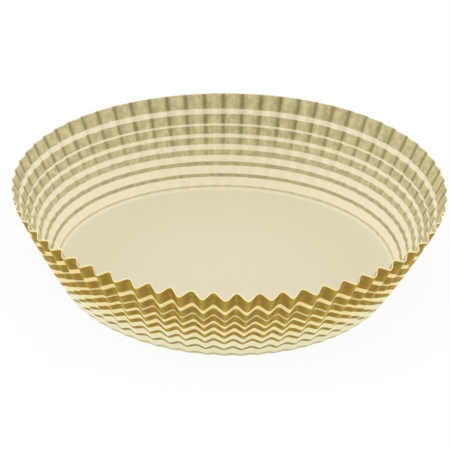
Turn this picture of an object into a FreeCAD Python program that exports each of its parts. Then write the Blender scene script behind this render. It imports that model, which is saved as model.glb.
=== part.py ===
import FreeCAD, Part
import math
import os
from collections import namedtuple

# A round, shallow baking case. One disc of greaseproof paper is pressed into a flat floor and a
# flared wall. The disc has more paper round it than the wall has room for, and what is to spare
# stands in pleats. They start at the fold round the floor and are deepest at the rim. The sheet is
# one piece with no seam.
#
# The origin is the middle of the floor's underside and +Z is up. A heading is an angle about Z,
# measured from -Y towards +X. Lengths are in millimetres and angles in degrees.

# The floor and the fold round it
base_diameter = 75.0       # across the corner that floor and wall would make without a fold radius
fold_radius = 1.0          # of the paper's middle where it turns up into the wall
paper_thickness = 0.1

# The wall
wall_slant = 22.7          # up the paper, from the fold to the rim
wall_lean = 26.2           # out from upright
lean_swing = 2.4           # the free rim is slightly oval: it leans this much more at its long ends
swing_heading = 9.0        # of one long end

# The pleats
pleat_count = 65
crease_width = 0.6         # of the paper that a crest or a crease bends at the rim
wall_steps = 4             # rows of flat faces up the wall

node_name = "paper_case"

OUTSIDE, INSIDE = 1, -1
CREST, CREASE = 1, -1
FLAT = math.pi / 2.0       # the lean of the floor

# The poles of the fold's arc below a crest or crease, with the middle one's weight
Fold = namedtuple("Fold", "start corner end weight")
# The rounded bend of a crest or crease at one row: where it begins, its middle and where it ends
Bend = namedtuple("Bend", "first middle last")

half_turn_at_fold = (FLAT - math.radians(wall_lean)) / 2.0
fold_reach = fold_radius * math.tan(half_turn_at_fold)
floor_radius = base_diameter / 2.0 - fold_reach
corner_count = 2 * pleat_count


def heading_of(number):
    """Crests and creases stand evenly round the case, with a crest at heading nought."""
    return number * math.pi / pleat_count


def wave_of(number):
    """Crests and creases take turns."""
    return CREST if number % 2 == 0 else CREASE


def lean_at(heading):
    """How far the wall leans out from upright at one heading."""
    swing = lean_swing * math.cos(2.0 * (heading - math.radians(swing_heading)))
    return math.radians(wall_lean + swing)


def placed(heading, radius, height):
    """A point from its heading, its radius and its height above the paper's middle in the floor."""
    x = radius * math.sin(heading)
    y = -radius * math.cos(heading)
    return FreeCAD.Vector(x, y, paper_thickness / 2.0 + height)


def fold_at(number, side):
    """The fold's arc below one crest or crease, on one side of the paper."""
    heading = heading_of(number)
    lean = lean_at(heading)
    half_turn = (FLAT - lean) / 2.0
    offset = side * paper_thickness / 2.0
    start = placed(heading, floor_radius, -offset)
    corner = placed(heading, base_diameter / 2.0 + offset * math.tan(half_turn), -offset)
    end_radius = base_diameter / 2.0 + fold_reach * math.sin(lean) + offset * math.cos(lean)
    end_height = fold_reach * math.cos(lean) - offset * math.sin(lean)
    return Fold(start, corner, placed(heading, end_radius, end_height), math.cos(half_turn))


def corner_at(number, side, row):
    """The unrounded point of a crest or a crease at one row, on one side of the paper."""
    heading = heading_of(number)
    lean = lean_at(heading)
    climb = fold_reach + wall_slant * row / wall_steps
    radius = base_diameter / 2.0 + climb * math.sin(lean)
    half_pitch = math.pi * radius / pleat_count
    flank = math.pi * (base_diameter / 2.0 + climb) / pleat_count
    depth = math.sqrt(flank * flank - half_pitch * half_pitch)
    offset = wave_of(number) * depth / 2.0 + side * paper_thickness / 2.0 * flank / half_pitch
    radius += offset * math.cos(lean)
    height = climb * math.cos(lean) - offset * math.sin(lean)
    return placed(heading, radius, height)


def bends_round(side, row):
    """The rounded bend of every crest and crease at one row, on one side of the paper."""
    corners = [corner_at(number, side, row) for number in range(corner_count)]
    bends = []
    for number, corner in enumerate(corners):
        back = (corners[number - 1] - corner).normalize()
        ahead = (corners[(number + 1) % corner_count] - corner).normalize()
        half_turn = (math.pi - back.getAngle(ahead)) / 2.0
        wider = side * wave_of(number) * paper_thickness / 2.0 * math.tan(half_turn)
        reach = crease_width / 2.0 * row / wall_steps + wider
        first = corner + back * reach
        last = corner + ahead * reach
        bends.append(Bend(first, (first + corner * 2.0 + last) / 4.0, last))
    return bends


def in_turn(items):
    """Each item with the one that follows it round the case."""
    return zip(items, items[1:] + items[:1])


def patch(rows, weights):
    """A Bezier face from its rows of poles and their weights."""
    surface = Part.BezierSurface()
    surface.increase(len(rows) - 1, len(rows[0]) - 1)
    for i, row in enumerate(rows):
        for j, pole in enumerate(row):
            surface.setPole(i + 1, j + 1, pole, weights[i][j])
    return surface.toShape()


def flat_face(points):
    """A flat face with straight edges."""
    return Part.Face(Part.makePolygon(points + points[:1]))


def fold_faces(folds):
    """The fold, on one side of the paper."""
    faces = []
    for fold, following in in_turn(folds):
        rows = list(zip(fold, following))
        weights = rows.pop()
        faces.append(patch(rows, ((1.0, 1.0), weights, (1.0, 1.0))))
    return faces


def strip_faces(lines):
    """Flat triangles between each line of points up the wall and the next.

    The diagonals run from the lower end of the first line. Lines that share their lowest point
    have one triangle there.
    """
    faces = []
    for line, following in zip(lines, lines[1:]):
        steps = zip(line, line[1:], following, following[1:])
        for low, high, next_low, next_high in steps:
            faces.append(flat_face([low, next_high, high]))
            if low is not next_low:
                faces.append(flat_face([low, next_low, next_high]))
    return faces


def wall_lines(folds, bends_up):
    """For each crest and crease, its three lines of points up from the top of the fold."""
    lines = []
    for fold, *bends in zip(folds, *bends_up):
        lines.append([[fold.end, *points] for points in zip(*bends)])
    return lines


def wall_faces(lines):
    """The pleated wall, on one side of the paper: each bend, and the flank that follows it."""
    faces = []
    for number, (corner, following) in enumerate(in_turn(lines)):
        flank = [corner[-1], following[0]]
        if wave_of(number) == CREASE:
            flank.reverse()
        faces += strip_faces(corner) + strip_faces(flank)
    return faces


def cut_edge_faces(outer_lines, inner_lines):
    """The thickness of the paper, seen at the rim."""
    rim_points = []
    for outer_corner, inner_corner in zip(outer_lines, inner_lines):
        rim_points += [(outer[-1], inner[-1]) for outer, inner in zip(outer_corner, inner_corner)]
    faces = []
    for (out, within), (next_out, next_within) in in_turn(rim_points):
        faces.append(flat_face([out, next_out, within]))
        faces.append(flat_face([next_out, next_within, within]))
    return faces


def paper_case():
    """The whole sheet as one closed solid."""
    faces = []
    lines = {}
    for side in (OUTSIDE, INSIDE):
        folds = [fold_at(number, side) for number in range(corner_count)]
        bends_up = [bends_round(side, row) for row in range(1, wall_steps + 1)]
        lines[side] = wall_lines(folds, bends_up)
        faces.append(flat_face([fold.start for fold in folds]))
        faces += fold_faces(folds)
        faces += wall_faces(lines[side])
    faces += cut_edge_faces(lines[OUTSIDE], lines[INSIDE])
    sheet = Part.makeCompound(faces)
    sheet.sewShape()
    solid = Part.Solid(sheet.Shells[0])
    if solid.Volume < 0.0:
        solid.reverse()
    return solid


case = paper_case()
os.makedirs("parts", exist_ok=True)
case.exportStep(os.path.join("parts", node_name + ".step"))

box = case.BoundBox
print(node_name, "valid", case.isValid(), "closed", case.isClosed(), "faces", len(case.Faces))
print("size %.2f x %.2f x %.2f mm" % (box.XLength, box.YLength, box.ZLength))
print("from z %.4f to %.3f, volume %.1f mm3" % (box.ZMin, box.ZMax, case.Volume))
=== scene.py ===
import math
import random
from collections import namedtuple

import bpy
import numpy as np
from bpy.props import FloatProperty, FloatVectorProperty, IntProperty, PointerProperty
from mathutils import Color, Matrix, Vector


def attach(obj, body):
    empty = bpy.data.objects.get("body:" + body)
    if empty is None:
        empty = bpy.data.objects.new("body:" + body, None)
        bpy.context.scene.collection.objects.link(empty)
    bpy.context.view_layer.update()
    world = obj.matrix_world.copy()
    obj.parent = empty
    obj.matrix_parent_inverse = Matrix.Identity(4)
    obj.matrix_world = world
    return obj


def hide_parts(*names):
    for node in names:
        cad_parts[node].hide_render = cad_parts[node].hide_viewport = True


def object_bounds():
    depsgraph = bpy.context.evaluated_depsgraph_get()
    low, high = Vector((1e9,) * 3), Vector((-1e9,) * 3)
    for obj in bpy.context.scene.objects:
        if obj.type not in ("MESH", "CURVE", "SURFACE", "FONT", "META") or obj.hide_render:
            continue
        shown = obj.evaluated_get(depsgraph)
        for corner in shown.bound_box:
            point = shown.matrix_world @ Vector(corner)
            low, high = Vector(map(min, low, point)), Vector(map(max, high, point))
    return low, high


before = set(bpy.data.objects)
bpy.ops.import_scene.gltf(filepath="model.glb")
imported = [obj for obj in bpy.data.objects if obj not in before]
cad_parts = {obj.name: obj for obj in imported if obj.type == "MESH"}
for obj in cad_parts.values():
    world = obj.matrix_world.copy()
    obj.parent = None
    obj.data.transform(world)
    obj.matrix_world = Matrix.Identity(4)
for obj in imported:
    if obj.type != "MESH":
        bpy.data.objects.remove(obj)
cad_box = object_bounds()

bl_info = {
    "name": "Paper Baking Case",
    "version": (1, 0, 0),
    "blender": (4, 5, 0),
    "location": "View3D > Sidebar > Baking Case",
    "description": "A shallow, pleated paper baking case with printed rings, in a plain studio",
    "category": "Add Mesh",
}

MM = 0.001                             # one millimetre, in metres
CAD_NODE = "paper_case"
OUTSIDE, INSIDE, CUT_EDGE = 0, 1, 2    # the sheet's material slots


# Sizes and colours that a user would change


class CaseSheet(bpy.types.PropertyGroup):
    """The folded sheet of paper."""

    base_radius: FloatProperty(
        name="Base radius",
        description="To the corner that floor and wall would make without a fold radius",
        default=37.5 * MM, min=10 * MM, unit="LENGTH", precision=4)
    fold_radius: FloatProperty(
        name="Fold radius", description="Of the turn from the floor up into the wall",
        default=1.0 * MM, min=0.2 * MM, unit="LENGTH", precision=4)
    thickness: FloatProperty(
        name="Paper thickness", description="Of the greaseproof paper",
        default=0.1 * MM, min=0.02 * MM, unit="LENGTH", precision=5)
    wall_slant: FloatProperty(
        name="Wall slant", description="Up the paper, from the fold to the rim",
        default=22.68 * MM, min=5 * MM, unit="LENGTH", precision=4)
    lean_low: FloatProperty(
        name="Lean above the fold", description="How far the wall leans out just above the fold",
        default=math.radians(30.1), subtype="ANGLE")
    lean_high: FloatProperty(
        name="Lean at the rim", description="How far the wall leans out at the rim",
        default=math.radians(26.9), subtype="ANGLE")
    oval_lean: FloatProperty(
        name="Oval",
        description="How much more the wall leans at the long ends of its slightly oval rim",
        default=math.radians(0.71), subtype="ANGLE")
    oval_heading: FloatProperty(
        name="Oval heading", description="Of one long end, from the front towards the right",
        default=math.radians(59.6), subtype="ANGLE")
    curl_radius: FloatProperty(
        name="Curl radius", description="Of the gentle curl that lifts the two sides off the table",
        default=905 * MM, min=200 * MM, unit="LENGTH", precision=3)
    curl_heading: FloatProperty(
        name="Curl heading",
        description="Of the way that the curl rises, from the right towards the back",
        default=math.radians(6.4), subtype="ANGLE")
    cut_offset: FloatProperty(
        name="Cut off centre",
        description="How much more paper the wall has at one side, as the disc is cut off centre",
        default=0.5 * MM, min=0.0, unit="LENGTH", precision=5)
    cut_heading: FloatProperty(
        name="Cut heading",
        description="Of the side with more paper, from the front towards the right",
        default=math.radians(90), subtype="ANGLE")
    front_height: FloatProperty(
        name="Taller front",
        description="How much more paper the wall has at the front, fading out at the sides",
        default=0.7 * MM, min=0.0, unit="LENGTH", precision=5)
    pleat_count: IntProperty(
        name="Pleats", description="Evenly round the wall", default=65, min=12)
    pleat_depth: FloatProperty(
        name="Pleat depth",
        description="As a share of what takes up all the spare paper of the flat disc",
        default=1.0, min=0.1, max=1.2, subtype="FACTOR")
    side_depth: FloatProperty(
        name="Depth at the sides",
        description="The pleats are pressed shallower at the left and right sides",
        default=0.28, min=0.05, max=1.0, subtype="FACTOR")
    low_depth: FloatProperty(
        name="Depth low at the sides",
        description="The pleats at the sides also start a little shallower above the fold",
        default=0.9, min=0.05, max=1.0, subtype="FACTOR")
    crest_round: FloatProperty(
        name="Crest rounding", description="Share of a flank that bends at an outer crest",
        default=0.15, min=0.02, max=0.45, subtype="FACTOR")
    rim_crest_round: FloatProperty(
        name="Crest rounding at the rim",
        description="Share of a flank that bends there, where the crests open up",
        default=0.30, min=0.02, max=0.45, subtype="FACTOR")
    crease_round: FloatProperty(
        name="Crease rounding", description="Share of a flank that bends at an inner crease",
        default=0.30, min=0.02, max=0.45, subtype="FACTOR")
    pleat_drift: FloatProperty(
        name="Pleat drift",
        description="How far the pleats at the back have turned on from even spacing",
        default=math.radians(-0.7), subtype="ANGLE")
    pleat_wander: FloatProperty(
        name="Pleat wander",
        description="How unevenly the pleats are pressed, as a share of a flank",
        default=0.05, min=0.0, max=0.2, subtype="FACTOR")


class RingPrint(bpy.types.PropertyGroup):
    """The rings printed on the outside, and the colours of the paper and the ink."""

    heights: FloatVectorProperty(
        name="Ring heights",
        description="Middle of each ring, up the paper from the start of the fold",
        size=7, unit="LENGTH", precision=4,
        default=[h * MM for h in (1.45, 4.12, 6.93, 9.62, 12.38, 15.04, 17.68)])
    widths: FloatVectorProperty(
        name="Ring widths", description="Width of each ring, up the paper",
        size=7, unit="LENGTH", precision=4,
        default=[w * MM for w in (0.55, 0.80, 0.95, 1.32, 1.59, 1.92, 2.32)])
    lowest_ring: FloatProperty(
        name="Lowest ring",
        description="How strong the ink of the lowest ring is, as a share of the others'",
        default=0.6, min=0.0, max=1.0, subtype="FACTOR")
    rim_band: FloatProperty(
        name="Rim band", description="Where the wide band under the rim begins, up the paper",
        default=20.1 * MM, unit="LENGTH", precision=4)
    margin: FloatProperty(
        name="Margin", description="Bare paper between the wide band and the rim",
        default=0.26 * MM, min=0.0, unit="LENGTH", precision=5)
    front_margin: FloatProperty(
        name="Front margin",
        description="How much wider the margin is at the front than at the sides",
        default=0.15 * MM, unit="LENGTH", precision=5)
    gold: FloatVectorProperty(
        name="Gold ink", description="Matte gold ink on the outside",
        subtype="COLOR_GAMMA", size=3, min=0.0, max=1.0, default=(0.665, 0.54, 0.09))
    gold_low: FloatVectorProperty(
        name="Gold ink, low",
        description="The ink of the lowest rings, which is thinner and duller",
        subtype="COLOR_GAMMA", size=3, min=0.0, max=1.0, default=(0.66, 0.60, 0.36))
    cream: FloatVectorProperty(
        name="Cream outside", description="Unprinted paper on the outside",
        subtype="COLOR_GAMMA", size=3, min=0.0, max=1.0, default=(1.0, 0.935, 0.675))
    # painted light: the cream is lighter and less yellow towards the floor, standing in for the
    # light that the table throws back up
    cream_lit_low: FloatVectorProperty(
        name="Cream outside, low",
        description="Unprinted paper towards the floor, where less yellow is seen",
        subtype="COLOR_GAMMA", size=3, min=0.0, max=1.0, default=(1.0, 0.985, 0.85))
    cream_inside: FloatVectorProperty(
        name="Cream inside", description="Unprinted paper on the inside",
        subtype="COLOR_GAMMA", size=3, min=0.0, max=1.0, default=(0.93, 0.90, 0.785))
    shadow_gold: FloatVectorProperty(
        name="Gold seen through", description="Where the gold shows through to the inside",
        subtype="COLOR_GAMMA", size=3, min=0.0, max=1.0, default=(0.775, 0.735, 0.57))
    # painted shade: the show-through gold darkens in the grooves between the pleats
    groove_shade_gold: FloatVectorProperty(
        name="Gold in the grooves",
        description="The gold seen through, in the grooves between the pleats",
        subtype="COLOR_GAMMA", size=3, min=0.0, max=1.0, default=(0.52, 0.48, 0.31))
    cut_edge: FloatVectorProperty(
        name="Cut edge", description="The paper's thickness, bare at the rim",
        subtype="COLOR_GAMMA", size=3, min=0.0, max=1.0, default=(1.0, 0.95, 0.78))


class Studio(bpy.types.PropertyGroup):
    """The camera and the light."""

    view_heading: FloatProperty(
        name="View heading",
        description="Where the camera stands, from the front towards the right",
        default=math.radians(0.22), subtype="ANGLE")
    view_elevation: FloatProperty(
        name="View elevation", description="How far the camera looks down",
        default=0.5003, subtype="ANGLE")
    view_roll: FloatProperty(
        name="View roll", description="The camera's tilt about its own line of sight",
        default=0.0265, subtype="ANGLE")
    aim: FloatVectorProperty(
        name="Aim", description="The point that the camera looks at, before its heading is turned",
        size=3, subtype="TRANSLATION", default=(-0.50 * MM, 0.0, 10.83 * MM))
    distance: FloatProperty(
        name="Camera distance", description="From the camera to the point that it looks at",
        default=463.6 * MM, unit="LENGTH")
    focal_length: FloatProperty(
        name="Focal length", description="In millimetres, on a sensor 36 mm wide",
        default=166.5, min=20.0)
    world_light: FloatProperty(
        name="Sky light", description="Strength of the even light from all round",
        default=0.745, min=0.0)
    lamp_power: FloatProperty(
        name="Lamp power", description="Of the large soft lamp overhead, in watts",
        default=1.7, min=0.0)
    left_power: FloatProperty(
        name="Left lamp power", description="Of the large soft lamp at the left, in watts",
        default=1.0, min=0.0)
    right_power: FloatProperty(
        name="Right lamp power", description="Of the large soft lamp at the right, in watts",
        default=0.9, min=0.0)
    floor_glow: FloatProperty(
        name="Floor glow",
        description="How much light the floor gives back by itself, as a light table does",
        default=0.3, min=0.0, max=1.0, subtype="FACTOR")
    backdrop_white: FloatProperty(
        name="Backdrop white",
        description="How much of the floor's look is plain white, over its shadow",
        default=0.9, min=0.0, max=1.0, subtype="FACTOR")


# Materials, with their sums written as Python expressions


class Value:
    """A socket of a material, on which sums are written as Python expressions."""

    def __init__(self, finish, socket):
        self.finish = finish
        self.socket = socket

    def math(self, operation, *terms):
        return self.finish.node(
            "ShaderNodeMath", {"operation": operation}, dict(enumerate(terms)))

    def __add__(self, other):
        return self.math("ADD", self, other)

    def __sub__(self, other):
        return self.math("SUBTRACT", self, other)

    def __rsub__(self, other):
        return self.math("SUBTRACT", other, self)

    def __mul__(self, other):
        return self.math("MULTIPLY", self, other)

    __radd__ = __add__
    __rmul__ = __mul__

    def size(self):
        """Without its sign."""
        return self.math("ABSOLUTE", self)

    def larger(self, other):
        return self.math("MAXIMUM", self, other)

    def rise(self, start, end):
        """Nought below start, one above end, and a smooth rise between them."""
        return self.finish.node(
            "ShaderNodeMapRange", {"interpolation_type": "SMOOTHSTEP"},
            {"Value": self, "From Min": start, "From Max": end})

    def fall(self, start, end):
        """One below start, nought above end, and a smooth fall between them."""
        return 1.0 - self.rise(start, end)


class Finish:
    """The nodes of a material or of the world, under construction."""

    def __init__(self, owner):
        self.owner = owner
        owner.use_nodes = True
        self.tree = owner.node_tree
        self.tree.nodes.clear()

    def node(self, kind, settings=None, sockets=None, output=0):
        """Adds a node: its settings first, then the values or links of its sockets."""
        made = self.tree.nodes.new(kind)
        for name, setting in (settings or {}).items():
            setattr(made, name, setting)
        for key, value in (sockets or {}).items():
            socket = self.found(made.inputs, key)
            if isinstance(value, Value):
                self.tree.links.new(value.socket, socket)
            else:
                socket.default_value = value
        return Value(self, self.found(made.outputs, output)) if made.outputs else None

    @staticmethod
    def found(sockets, key):
        """A socket by its number, by its identifier or else by its name."""
        if isinstance(key, int):
            return sockets[key]
        for socket in sockets:
            if socket.identifier == key:
                return socket
        return sockets[key]

    def blend(self, first, second, share, mode="MIX"):
        """Two colours mixed by a share, each from another node or given as it is seen."""
        first, second = (
            color if isinstance(color, Value) else rendered(color) for color in (first, second))
        return self.node(
            "ShaderNodeMix", {"data_type": "RGBA", "blend_type": mode},
            {"Factor_Float": share, "A_Color": first, "B_Color": second}, "Result_Color")

    def stored(self, name):
        """A number that the mesh carries at each point."""
        return self.node("ShaderNodeAttribute", {"attribute_name": name}, output="Fac")

    def noise(self, clouds):
        """Cloudy variation about a half."""
        return self.node("ShaderNodeTexNoise", {}, {
            "Vector": self.node("ShaderNodeTexCoord", output="Object"),
            "Scale": clouds.to_the_metre, "Detail": clouds.detail, "Roughness": clouds.roughness})

    def surface(self, color, roughness, normal, **constants):
        """The finished surface. Constants are set on the shader's own sockets."""
        sockets = {"Base Color": color, "Roughness": roughness, "Normal": normal}
        sockets.update({name.replace("_", " "): value for name, value in constants.items()})
        return self.ended(self.node("ShaderNodeBsdfPrincipled", {}, sockets))

    def ended(self, shader, output="ShaderNodeOutputMaterial"):
        """Shows the shader, and gives the material or the world."""
        self.node(output, {}, {"Surface": shader})
        return self.owner


def rendered(color):
    """A colour as it is seen, as the four numbers that a socket takes."""
    return (*Color(color).from_srgb_to_scene_linear(), 1.0)


def shade(color, share):
    """The same colour, darker or lighter."""
    return tuple(min(1.0, channel * share) for channel in color)


# How each kind of variation is spread over the paper
Clouds = namedtuple("Clouds", "to_the_metre detail roughness")
INK_EDGE = Clouds(700.0, 2.0, 0.5)           # the print's edges aren't quite steady
BUMP_FIBRES = Clouds(2600.0, 4.0, 0.62)
BUMP_COCKLE = Clouds(160.0, 2.0, 0.5)
FIBRES = Clouds(3200.0, 3.0, 0.6)
CUT_FIBRES = Clouds(5200.0, 3.0, 0.6)
OUTER_MOTTLE = Clouds(900.0, 3.0, 0.6)
INNER_MOTTLE = Clouds(650.0, 3.0, 0.6)
OUTER_PATCHES = Clouds(240.0, 2.0, 0.5)      # of a slightly different hue
INNER_PATCHES = Clouds(420.0, 2.0, 0.5)

# How the print lies
OUTER_SOFTNESS = 0.07 * MM                   # half the width over which a printed edge fades
INNER_SOFTNESS = 0.09 * MM
INK_WAVER = 0.12 * MM                        # how far the print's edges stray
STRAY_INK = 0.25                             # how much ink lies between the two highest rings
STRAY_FADE = 0.1 * MM

# Where things happen between a crest, at nought, and a crease, at one: a painted highlight along
# the crests, painted shade on the flanks, and painted shade in the grooves
CREST = (0.0, 0.30)
FLANK_STARTS, FLANK_ENDS = (0.15, 0.40), (0.60, 0.85)
GROOVE = (0.04, 0.40)                        # seen from the inside, the outer crests are grooves

# Where things happen up the paper, from the start of the fold
FLOOR_ENDS = (0.0, 1.5 * MM)
THIN_INK = (3.0 * MM, 10.0 * MM)
# the span over which the painted light low on the outside fades out
LIT_LOW_CREAM = (3.0 * MM, 14.0 * MM)
DULL_INSIDE = (5.0 * MM, 11.0 * MM)
GROOVES_DEEPEN = (4.0 * MM, 18.0 * MM)

# Where noise has its middle, its spread, and the upper and lower ends that make patches
MIDDLE = 0.5
SPREAD = (0.3, 0.7)
FIBRE_SPREAD = (0.35, 0.7)
HIGH_PATCHES = (0.5, 0.62)
OUTER_LOW_PATCHES, INNER_LOW_PATCHES = (0.36, 0.48), (0.38, 0.5)

# Tints that multiply a colour
OLIVE, ROSY = (0.95, 1.0, 0.85), (1.0, 0.93, 0.9)
FAINT_OLIVE, FAINT_ROSY = (0.98, 1.0, 0.96), (1.0, 0.98, 0.975)
FIBRE_TINT = (0.95, 0.93, 0.88)
LOW_TINT = (0.92, 0.915, 0.9)

# Shades of a colour of its own, and how far each is blended in: painted shade on the flanks, in the
# grooves and on the floor inside, and a painted highlight on the crests
PAINTED_FLANK_SHADE, FLANK_SHARE = 0.80, 0.45
CREST_HIGHLIGHT_SHADE, CREST_HIGHLIGHT_SHARE = 1.22, 0.5
GROOVE_PAINTED_SHADE, GROOVE_SHARE, GROOVE_GOLD_SHARE = 0.88, 0.6, 0.85
FLOOR_PAINTED_SHADE = 0.915
FIBRE_SHARE = 0.5

# The feel of the surface
OUTER_ROUGHNESS, INNER_ROUGHNESS, CUT_ROUGHNESS = 0.62, 0.58, 0.75
INK_SHEEN = 0.14                             # how much less rough the ink is than the paper
ROUGHNESS_SPREAD, CUT_ROUGHNESS_SPREAD = 0.12, 0.1
GRAIN_HEIGHT = 0.12 * MM
FIBRES_TO_COCKLE = 0.35


def mottled(finish, color, clouds, darker, lighter):
    """A colour that goes cloudily from a darker to a lighter shade of itself."""
    return finish.blend(shade(color, darker), shade(color, lighter), clouds.rise(*SPREAD))


def patched(finish, color, clouds, low_patches, high_tint, low_tint):
    """A colour with patches of two weak tints."""
    color = finish.blend(color, high_tint, clouds.rise(*HIGH_PATCHES), "MULTIPLY")
    return finish.blend(color, low_tint, clouds.fall(*low_patches), "MULTIPLY")


def ring_mask(finish, print_, softness):
    """One where there is gold, nought on bare paper."""
    stray = (finish.noise(INK_EDGE) - MIDDLE) * INK_WAVER
    climb = finish.stored("climb") + stray
    mask = climb.rise(print_.rim_band - softness, print_.rim_band + softness)
    mask = mask * (finish.stored("within_margin") + stray * 0.5).rise(-softness, softness)
    for number, (height, width) in enumerate(zip(print_.heights, print_.widths)):
        ink = (width / 2.0 - (climb - height).size()).rise(-softness, softness)
        mask = mask.larger(ink * print_.lowest_ring if number == 0 else ink)
    return mask


def stray_ink(print_, climb):
    """The faint ink between the two highest rings."""
    *_, second, highest = print_.heights
    within = (highest - second) / 2.0 - (climb - (highest + second) / 2.0).size()
    return within.rise(0.0, STRAY_FADE) * STRAY_INK


def paper_grain(finish, strength):
    """Fibres and slight cockling, as a bump."""
    height = finish.noise(BUMP_FIBRES) * FIBRES_TO_COCKLE + finish.noise(BUMP_COCKLE)
    return finish.node(
        "ShaderNodeBump", {}, {"Strength": strength, "Distance": GRAIN_HEIGHT, "Height": height})


def printed_side(print_):
    """The outside: matte gold rings on cream greaseproof paper."""
    finish = Finish(bpy.data.materials.new("printed_side"))
    climb, from_crest = finish.stored("climb"), finish.stored("from_crest")
    mottle, fibres = finish.noise(OUTER_MOTTLE), finish.noise(FIBRES)

    # painted shade: the gold darkens across the middle of each flank, where the light falls less
    flank = from_crest.rise(*FLANK_STARTS) * from_crest.fall(*FLANK_ENDS)
    # painted highlight: the gold is lighter along the outer crests, flecked by the fibres
    crest = from_crest.fall(*CREST) * fibres.rise(*FIBRE_SPREAD)
    gold = mottled(finish, print_.gold, mottle, darker=0.88, lighter=1.10)
    gold = patched(finish, gold, finish.noise(OUTER_PATCHES), OUTER_LOW_PATCHES, OLIVE, ROSY)
    gold = finish.blend(gold, print_.gold_low, climb.fall(*THIN_INK))
    gold = finish.blend(gold, shade(print_.gold, PAINTED_FLANK_SHADE), flank * FLANK_SHARE)
    gold = finish.blend(gold, shade(print_.gold, CREST_HIGHLIGHT_SHADE), crest * CREST_HIGHLIGHT_SHARE)

    # painted light: the cream grows lighter and less yellow towards the floor
    cream = finish.blend(print_.cream_lit_low, print_.cream, climb.rise(*LIT_LOW_CREAM))
    cream = finish.blend(cream, FIBRE_TINT, fibres.rise(*SPREAD) * FIBRE_SHARE, "MULTIPLY")

    mask = ring_mask(finish, print_, OUTER_SOFTNESS).larger(stray_ink(print_, climb))
    roughness = OUTER_ROUGHNESS - mask * INK_SHEEN + (mottle - MIDDLE) * ROUGHNESS_SPREAD
    return finish.surface(
        finish.blend(cream, gold, mask), roughness, paper_grain(finish, strength=0.35),
        Specular_IOR_Level=0.3)


def show_through_side(print_):
    """The inside: cream paper, with the rings showing through it softly."""
    finish = Finish(bpy.data.materials.new("show_through_side"))
    climb, from_crest = finish.stored("climb"), finish.stored("from_crest")
    mottle, fibres = finish.noise(INNER_MOTTLE), finish.noise(FIBRES)
    # painted shade in the grooves that the outer crests make inside, growing stronger up the wall
    groove_shade = from_crest.fall(*GROOVE) * climb.rise(*GROOVES_DEEPEN)

    gold = mottled(finish, print_.shadow_gold, mottle, darker=0.91, lighter=1.06)
    gold = patched(
        finish, gold, finish.noise(INNER_PATCHES), INNER_LOW_PATCHES, FAINT_OLIVE, FAINT_ROSY)
    gold = finish.blend(gold, LOW_TINT, climb.fall(*DULL_INSIDE), "MULTIPLY")
    gold = finish.blend(gold, print_.groove_shade_gold, groove_shade * GROOVE_GOLD_SHARE)

    cream = mottled(finish, print_.cream_inside, fibres, darker=0.975, lighter=1.015)
    cream = finish.blend(cream, shade(print_.cream_inside, GROOVE_PAINTED_SHADE), groove_shade * GROOVE_SHARE)
    # painted shade: the bare paper of the floor inside is darker than that of the wall
    cream = finish.blend(cream, shade(print_.cream_inside, FLOOR_PAINTED_SHADE), climb.fall(*FLOOR_ENDS))

    mask = ring_mask(finish, print_, INNER_SOFTNESS)
    roughness = INNER_ROUGHNESS + (mottle - MIDDLE) * ROUGHNESS_SPREAD
    return finish.surface(
        finish.blend(cream, gold, mask), roughness, paper_grain(finish, strength=0.3),
        Specular_IOR_Level=0.35)


def cut_edge_finish(print_):
    """The bare thickness of the paper at the rim."""
    finish = Finish(bpy.data.materials.new("cut_edge"))
    fibres = finish.noise(CUT_FIBRES)
    color = mottled(finish, print_.cut_edge, fibres, darker=0.92, lighter=1.0)
    roughness = CUT_ROUGHNESS + (fibres - MIDDLE) * CUT_ROUGHNESS_SPREAD
    return finish.surface(
        color, roughness, paper_grain(finish, strength=0.4), Specular_IOR_Level=0.3)


# The sheet's shape. Headings go from the front towards the right, and rows go up the paper.

# Shares of the way from a crest to the next crease at which the paper has a line of points, closer
# together where it bends
FLANK_SHARES = (0.0, 0.07, 0.14, 0.22, 0.36, 0.54, 0.68, 0.80, 0.91)
FLOOR_RADII = (34.0, 29.0, 23.0, 17.0, 11.0, 5.0)   # rings of points in the floor, in millimetres
FOLD_ROWS = 6
WALL_ROWS = 22
SEED = 66
DEPTH_WANDER = 1.2            # how uneven the pleats' depth is, for each unevenness of their place
SIDE_SHARPNESS = 3.0          # how soon the shallow pleats of the two sides give way to deep ones
FRONT_SHARPNESS = 1.5         # added to that at the front, and taken off it at the back
FRONT_FADE = 3                # how soon the taller front gives way
RIM_OPENING = 6               # how close to the rim the crests open up
JUST_INSIDE = 0.5 * MM        # from the start of the fold to the floor that shows its slope


def fold_reach(case):
    """How far the fold takes up the floor, and the wall, from the corner."""
    return case.fold_radius * math.tan((math.pi / 2 - case.lean_low) / 2)


def curve(poles, share):
    """A point on the curve that three poles draw, and which way it goes there."""
    first, middle, last = poles
    point = (1 - share) ** 2 * first + 2 * share * (1 - share) * middle + share ** 2 * last
    along = 2 * (1 - share) * (middle - first) + 2 * share * (last - middle)
    return point, along / np.linalg.norm(along, axis=0)


def rounded_wave(away, crest, crease):
    """From 1 on a crest to -1 on a crease, with flat flanks and rounded bends."""
    if away < crest:
        height = 1 - crest - away ** 2 / crest
    elif away > 1 - crease:
        height = (1 - away) ** 2 / crease - (1 - crease)
    else:
        height = 1 - 2 * away
    top, bottom = 1 - crest, crease - 1
    return (2 * height - top - bottom) / (top - bottom)


def placed(radius, height, heading):
    """Points from their radius, their height and their heading."""
    return np.stack(
        [radius * np.sin(heading), -radius * np.cos(heading), height + 0 * heading], axis=-1)


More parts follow.
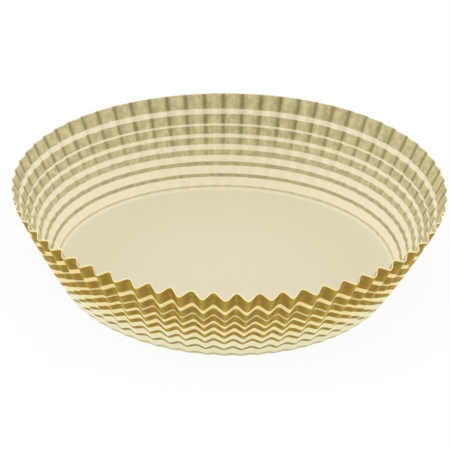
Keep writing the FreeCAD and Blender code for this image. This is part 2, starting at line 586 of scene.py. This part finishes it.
class SheetShape:
    """Works out where each point of the folded sheet lies, in the middle of the paper."""

    def __init__(self, case):
        self.case = case
        self.reach = fold_reach(case)
        self.press_pleats()
        frontness = (1 + np.cos(self.heading)) / 2
        self.slant = case.wall_slant + case.cut_offset * np.cos(self.heading - case.cut_heading)
        self.slant = self.slant + case.front_height * frontness ** FRONT_FADE
        self.draw_section()

    def press_pleats(self):
        """Where the lines of points up the wall stand, and how the paper waves there."""
        case = self.case
        chance = random.Random(SEED)
        corners = 2 * case.pleat_count
        unevenness = DEPTH_WANDER * case.pleat_wander
        wander = [case.pleat_wander * chance.gauss(0.0, 1.0) for _ in range(corners)]
        uneven = [1.0 + unevenness * chance.gauss(0.0, 1.0) for _ in range(corners)]
        back_shares = [0.0] + [1.0 - share for share in reversed(FLANK_SHARES[1:])]
        lines = []
        for corner in range(corners):
            to_crease = corner % 2 == 0
            following = (corner + 1) % corners
            for share in FLANK_SHARES if to_crease else back_shares:
                shift = (1 - share) * wander[corner] + share * wander[following]
                away = share if to_crease else 1.0 - share
                lines.append((
                    (corner + share + shift) * math.pi / case.pleat_count,
                    away,
                    rounded_wave(away, case.crest_round, case.crease_round),
                    rounded_wave(away, case.rim_crest_round, case.crease_round),
                    (1 - share) * uneven[corner] + share * uneven[following]))
        self.heading, self.from_crest, self.wave, self.rim_wave, depth = np.array(lines).T
        self.heading = self.heading + case.pleat_drift * (1 - np.cos(self.heading)) / 2
        sharpness = SIDE_SHARPNESS + FRONT_SHARPNESS * np.cos(self.heading)
        side = np.abs(np.sin(self.heading)) ** sharpness
        self.depth = depth * (1 - side + side * case.side_depth)
        self.low_loss = (1 - case.low_depth) * np.sin(self.heading) ** 2

    def draw_section(self):
        """The poles of the fold and of the wall, out from the middle and up, at each heading."""
        case = self.case
        swing = case.oval_lean * np.cos(2 * (self.heading - case.oval_heading))
        up_low, up_high = (
            np.array([np.sin(lean), np.cos(lean)])
            for lean in (case.lean_low + swing, case.lean_high + swing))
        level = np.array([np.ones_like(swing), np.zeros_like(swing)])
        corner = case.base_radius * level
        end = corner + self.reach * up_low
        middle = end + case.wall_slant / 2 * up_low
        rim = middle + case.wall_slant / 2 * up_high
        self.fold_poles = ((case.base_radius - self.reach) * level, corner, end)
        self.wall_poles = (end, middle, rim)

    def row(self, fold_share, wall_share):
        """A row of points, with how far up the paper each is and how far below the rim.

        Rows go first up the fold, then up the wall. The depth of the pleats is what takes up the
        paper that the flat disc has to spare at that height.
        """
        case = self.case
        if wall_share > 0:
            point, along = curve(self.wall_poles, wall_share * self.slant / case.wall_slant)
        else:
            point, along = curve(self.fold_poles, fold_share)
        climb = 2 * self.reach * fold_share + self.slant * wall_share
        flat_radius = case.base_radius - self.reach + climb
        spare = np.sqrt(np.maximum(flat_radius ** 2 - point[0] ** 2, 0.0))
        opened = wall_share ** RIM_OPENING
        wave = self.depth * ((1 - opened) * self.wave + opened * self.rim_wave)
        wave = wave * (1 - self.low_loss * (1 - wall_share))
        offset = case.pleat_depth * math.pi / case.pleat_count * spare / 2 * wave
        points = placed(point[0] + offset * along[1], point[1] - offset * along[0], self.heading)
        return points, climb, self.slant * (1 - wall_share)

    def rows(self):
        """All rows from the start of the fold to the rim."""
        rows = [self.row(step / FOLD_ROWS, 0.0) for step in range(FOLD_ROWS + 1)]
        rows += [self.row(1.0, step / WALL_ROWS) for step in range(1, WALL_ROWS + 1)]
        return (np.array(values) for values in zip(*rows))

    def outward(self, grid):
        """Which way is straight out of the paper, at each point of the rows."""
        floor_radius = self.case.base_radius - self.reach
        just_inside = placed(floor_radius - JUST_INSIDE, 0.0, self.heading)
        around = np.roll(grid, -1, axis=1) - np.roll(grid, 1, axis=1)
        upward = np.gradient(np.concatenate([just_inside[None], grid]), axis=0)[1:]
        outward = np.cross(around, upward)
        return outward / np.linalg.norm(outward, axis=-1, keepdims=True)

    def floor(self):
        """Rings of points in the floor, from the largest, with one point to each flank."""
        corners = 2 * self.case.pleat_count
        heading = np.arange(corners) * math.pi / self.case.pleat_count
        return np.array([placed(radius * MM, 0.0, heading) for radius in FLOOR_RADII])

    def curled(self, points):
        """The two sides lift gently off the table, about a line that runs from front to back."""
        turn, bend = self.case.curl_heading, self.case.curl_radius
        c, s = math.cos(turn), math.sin(turn)
        x, y, z = points[..., 0], points[..., 1], points[..., 2]
        across, along = c * x + s * y, c * y - s * x
        lifted = bend - (bend - z) * np.cos(across / bend)
        across = (bend - z) * np.sin(across / bend)
        return np.stack([c * across - s * along, s * across + c * along, lifted], axis=-1)


class Points:
    """The points of the mesh, with the numbers that its materials need at each."""

    def __init__(self):
        self.places = []
        self.numbers = {"climb": [], "within_margin": [], "from_crest": []}

    def add(self, places, **numbers):
        """Adds rows of points, and gives their places in the list, in the same rows."""
        first = len(self.places)
        self.places += list(places.reshape(-1, 3))
        shape = places.shape[:-1]
        for name, values in numbers.items():
            self.numbers[name] += list(np.broadcast_to(values, shape).ravel())
        return (first + np.arange(math.prod(shape))).reshape(shape).tolist()


def ring_faces(lower, upper):
    """Four-sided faces between two rings with as many points."""
    count = len(lower)
    return [
        (lower[i], lower[(i + 1) % count], upper[(i + 1) % count], upper[i]) for i in range(count)]


def fan_faces(inner, outer):
    """Faces between a ring and one with several times its points."""
    count, step = len(inner), len(outer) // len(inner)
    faces = []
    for i in range(count):
        arc = [outer[(i * step + k) % len(outer)] for k in range(step + 1)]
        faces.append((inner[i], inner[(i + 1) % count], *reversed(arc)))
    return faces


def skin_faces(rows, floor, middle):
    """The faces of one side of the paper: the wall and its fold, the floor's rings, its middle."""
    faces = []
    for lower, upper in zip(rows, rows[1:]):
        faces += ring_faces(lower, upper)
    faces += fan_faces(floor[0], rows[0])
    for outer, inner in zip(floor, floor[1:]):
        faces += ring_faces(inner, outer)
    last = floor[-1]
    return faces + [(middle, last[(i + 1) % len(last)], last[i]) for i in range(len(last))]


def sheet_mesh(case, print_):
    """The whole sheet as one closed mesh, with what its materials need at each point."""
    shape = SheetShape(case)
    grid, climb, below_rim = shape.rows()
    outward = shape.outward(grid)
    floor = shape.floor()
    within_margin = below_rim - print_.margin - print_.front_margin * np.cos(shape.heading)
    bare = {"climb": 0.0, "within_margin": 1.0, "from_crest": 0.5}

    points = Points()
    faces, slots, rims = [], [], []
    for slot, side in ((OUTSIDE, 1.0), (INSIDE, -1.0)):
        rows = points.add(
            grid + outward * side * case.thickness / 2,
            climb=climb, within_margin=within_margin, from_crest=shape.from_crest)
        down = np.array([0.0, 0.0, side * case.thickness / 2])
        floor_rings = points.add(floor - down, **bare)
        [middle] = points.add(-down[None], **bare)
        skin = skin_faces(rows, floor_rings, middle)
        if slot == INSIDE:
            skin = [tuple(reversed(face)) for face in skin]
        faces += skin
        slots += [slot] * len(skin)
        rims.append(rows[-1])
    edge = ring_faces(*rims)
    faces += edge
    slots += [CUT_EDGE] * len(edge)

    places = shape.curled(np.array(points.places))
    places[:, 2] -= places[:, 2].min()

    mesh = bpy.data.meshes.new("printed_case")
    mesh.from_pydata(places.tolist(), [], faces)
    mesh.polygons.foreach_set("material_index", slots)
    mesh.polygons.foreach_set("use_smooth", [True] * len(faces))
    for name, values in points.numbers.items():
        mesh.attributes.new(name, "FLOAT", "POINT").data.foreach_set("value", values)
    rims = [set(rim) for rim in rims]
    sharp = [any(rim.issuperset(line.vertices) for rim in rims) for line in mesh.edges]
    mesh.attributes.new("sharp_edge", "BOOLEAN", "EDGE").data.foreach_set("value", sharp)
    mesh.validate()
    mesh.update()
    return mesh


class BAKING_CASE_OT_add_case(bpy.types.Operator):
    """Fold the printed sheet into its case"""

    bl_idname = "baking_case.add_case"
    bl_label = "Printed case"

    def execute(self, context):
        scene = context.scene
        mesh = sheet_mesh(scene.case_sheet, scene.ring_print)
        for finish in (printed_side, show_through_side, cut_edge_finish):
            mesh.materials.append(finish(scene.ring_print))
        piece = bpy.data.objects.new("printed_case", mesh)
        scene.collection.objects.link(piece)
        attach(piece, "root")
        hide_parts(CAD_NODE)
        return {"FINISHED"}


# The studio


WHITE = (1.0, 1.0, 1.0, 1.0)
PALE = (0.92, 0.92, 0.92, 1.0)
FLOOR_SIZE = 4.0              # in metres, as all that follow
LAMP_SIZE = 0.5
OVERHEAD, LEFT, RIGHT = (0.0, -0.22, 0.72), (-0.60, 0.05, 0.30), (0.60, 0.05, 0.30)
NEAREST_SEEN = 0.01


def seen_ray(finish):
    """One for the rays that show the background, nought for those that light the case."""
    ray = finish.node("ShaderNodeLightPath", output="Is Camera Ray")
    for kind in ("Is Glossy Ray", "Is Transmission Ray"):
        ray = ray.larger(finish.node("ShaderNodeLightPath", output=kind))
    return ray


def backdrop_finish(studio):
    """A pale floor that shows white, with a soft shadow on it."""
    finish = Finish(bpy.data.materials.new("backdrop"))
    pale = finish.node("ShaderNodeBsdfDiffuse", {}, {"Color": PALE})
    white = finish.node("ShaderNodeEmission", {}, {"Color": WHITE, "Strength": 1.0})
    share = seen_ray(finish) * (studio.backdrop_white - studio.floor_glow) + studio.floor_glow
    return finish.ended(finish.node("ShaderNodeMixShader", {}, {0: share, 1: pale, 2: white}))


def white_world(studio):
    """Even light from all round, that shows as plain white."""
    finish = Finish(bpy.data.worlds.new("studio"))
    light = finish.node(
        "ShaderNodeBackground", {}, {"Color": WHITE, "Strength": studio.world_light})
    white = finish.node("ShaderNodeBackground", {}, {"Color": WHITE, "Strength": 1.0})
    both = finish.node("ShaderNodeMixShader", {}, {0: seen_ray(finish), 1: light, 2: white})
    return finish.ended(both, "ShaderNodeOutputWorld")


def add_lamp(scene, name, place, power):
    """A large round lamp that shines at the case."""
    lamp = bpy.data.lights.new(name, "AREA")
    lamp.shape = "DISK"
    lamp.size = LAMP_SIZE
    lamp.energy = power
    holder = bpy.data.objects.new(name, lamp)
    scene.collection.objects.link(holder)
    place = Vector(place)
    aimed = (-place).to_track_quat("-Z", "Y").to_matrix().to_4x4()
    holder.matrix_world = Matrix.Translation(place) @ aimed


def add_camera(scene, studio):
    """The camera, where the photograph was taken from."""
    camera = bpy.data.cameras.new("camera")
    camera.lens = studio.focal_length
    camera.sensor_width = 36.0
    camera.clip_start = NEAREST_SEEN
    eye = bpy.data.objects.new("camera", camera)
    scene.collection.objects.link(eye)
    turn = Matrix.Rotation(studio.view_heading, 4, "Z")
    tilt = Matrix.Rotation(math.pi / 2 - studio.view_elevation, 4, "X")
    roll = Matrix.Rotation(studio.view_roll, 4, "Z")
    back = Matrix.Translation((0.0, 0.0, studio.distance))
    eye.matrix_world = turn @ Matrix.Translation(studio.aim) @ tilt @ back @ roll
    scene.camera = eye


class BAKING_CASE_OT_add_studio(bpy.types.Operator):
    """Set up the floor, the light and the camera"""

    bl_idname = "baking_case.add_studio"
    bl_label = "Studio"

    def execute(self, context):
        scene = context.scene
        studio = scene.studio
        scene.view_settings.view_transform = "Standard"
        scene.world = white_world(studio)

        bpy.ops.mesh.primitive_plane_add(size=FLOOR_SIZE, location=(0.0, 0.0, cad_box[0][2]))
        floor = context.active_object
        floor.name = "floor"
        floor.data.materials.append(backdrop_finish(studio))

        add_lamp(scene, "overhead", OVERHEAD, studio.lamp_power)
        add_lamp(scene, "left", LEFT, studio.left_power)
        add_lamp(scene, "right", RIGHT, studio.right_power)
        add_camera(scene, studio)
        return {"FINISHED"}


class VIEW3D_PT_baking_case(bpy.types.Panel):
    """Lists the sizes, the print and the studio, each with its button"""

    bl_label = "Baking case"
    bl_idname = "VIEW3D_PT_baking_case"
    bl_space_type = "VIEW_3D"
    bl_region_type = "UI"
    bl_category = "Baking Case"

    def draw(self, context):
        for group, button in (
            ("case_sheet", None),
            ("ring_print", BAKING_CASE_OT_add_case.bl_idname),
            ("studio", BAKING_CASE_OT_add_studio.bl_idname),
        ):
            box = self.layout.box()
            settings = getattr(context.scene, group)
            for name in settings.__annotations__:
                box.prop(settings, name)
            if button:
                box.operator(button)


CLASSES = (
    CaseSheet,
    RingPrint,
    Studio,
    BAKING_CASE_OT_add_case,
    BAKING_CASE_OT_add_studio,
    VIEW3D_PT_baking_case,
)


def register():
    for cls in CLASSES:
        bpy.utils.register_class(cls)
    bpy.types.Scene.case_sheet = PointerProperty(type=CaseSheet)
    bpy.types.Scene.ring_print = PointerProperty(type=RingPrint)
    bpy.types.Scene.studio = PointerProperty(type=Studio)


def unregister():
    del bpy.types.Scene.studio
    del bpy.types.Scene.ring_print
    del bpy.types.Scene.case_sheet
    for cls in reversed(CLASSES):
        bpy.utils.unregister_class(cls)


def main():
    register()
    bpy.ops.baking_case.add_case()
    bpy.ops.baking_case.add_studio()


if __name__ == "__main__":
    main()
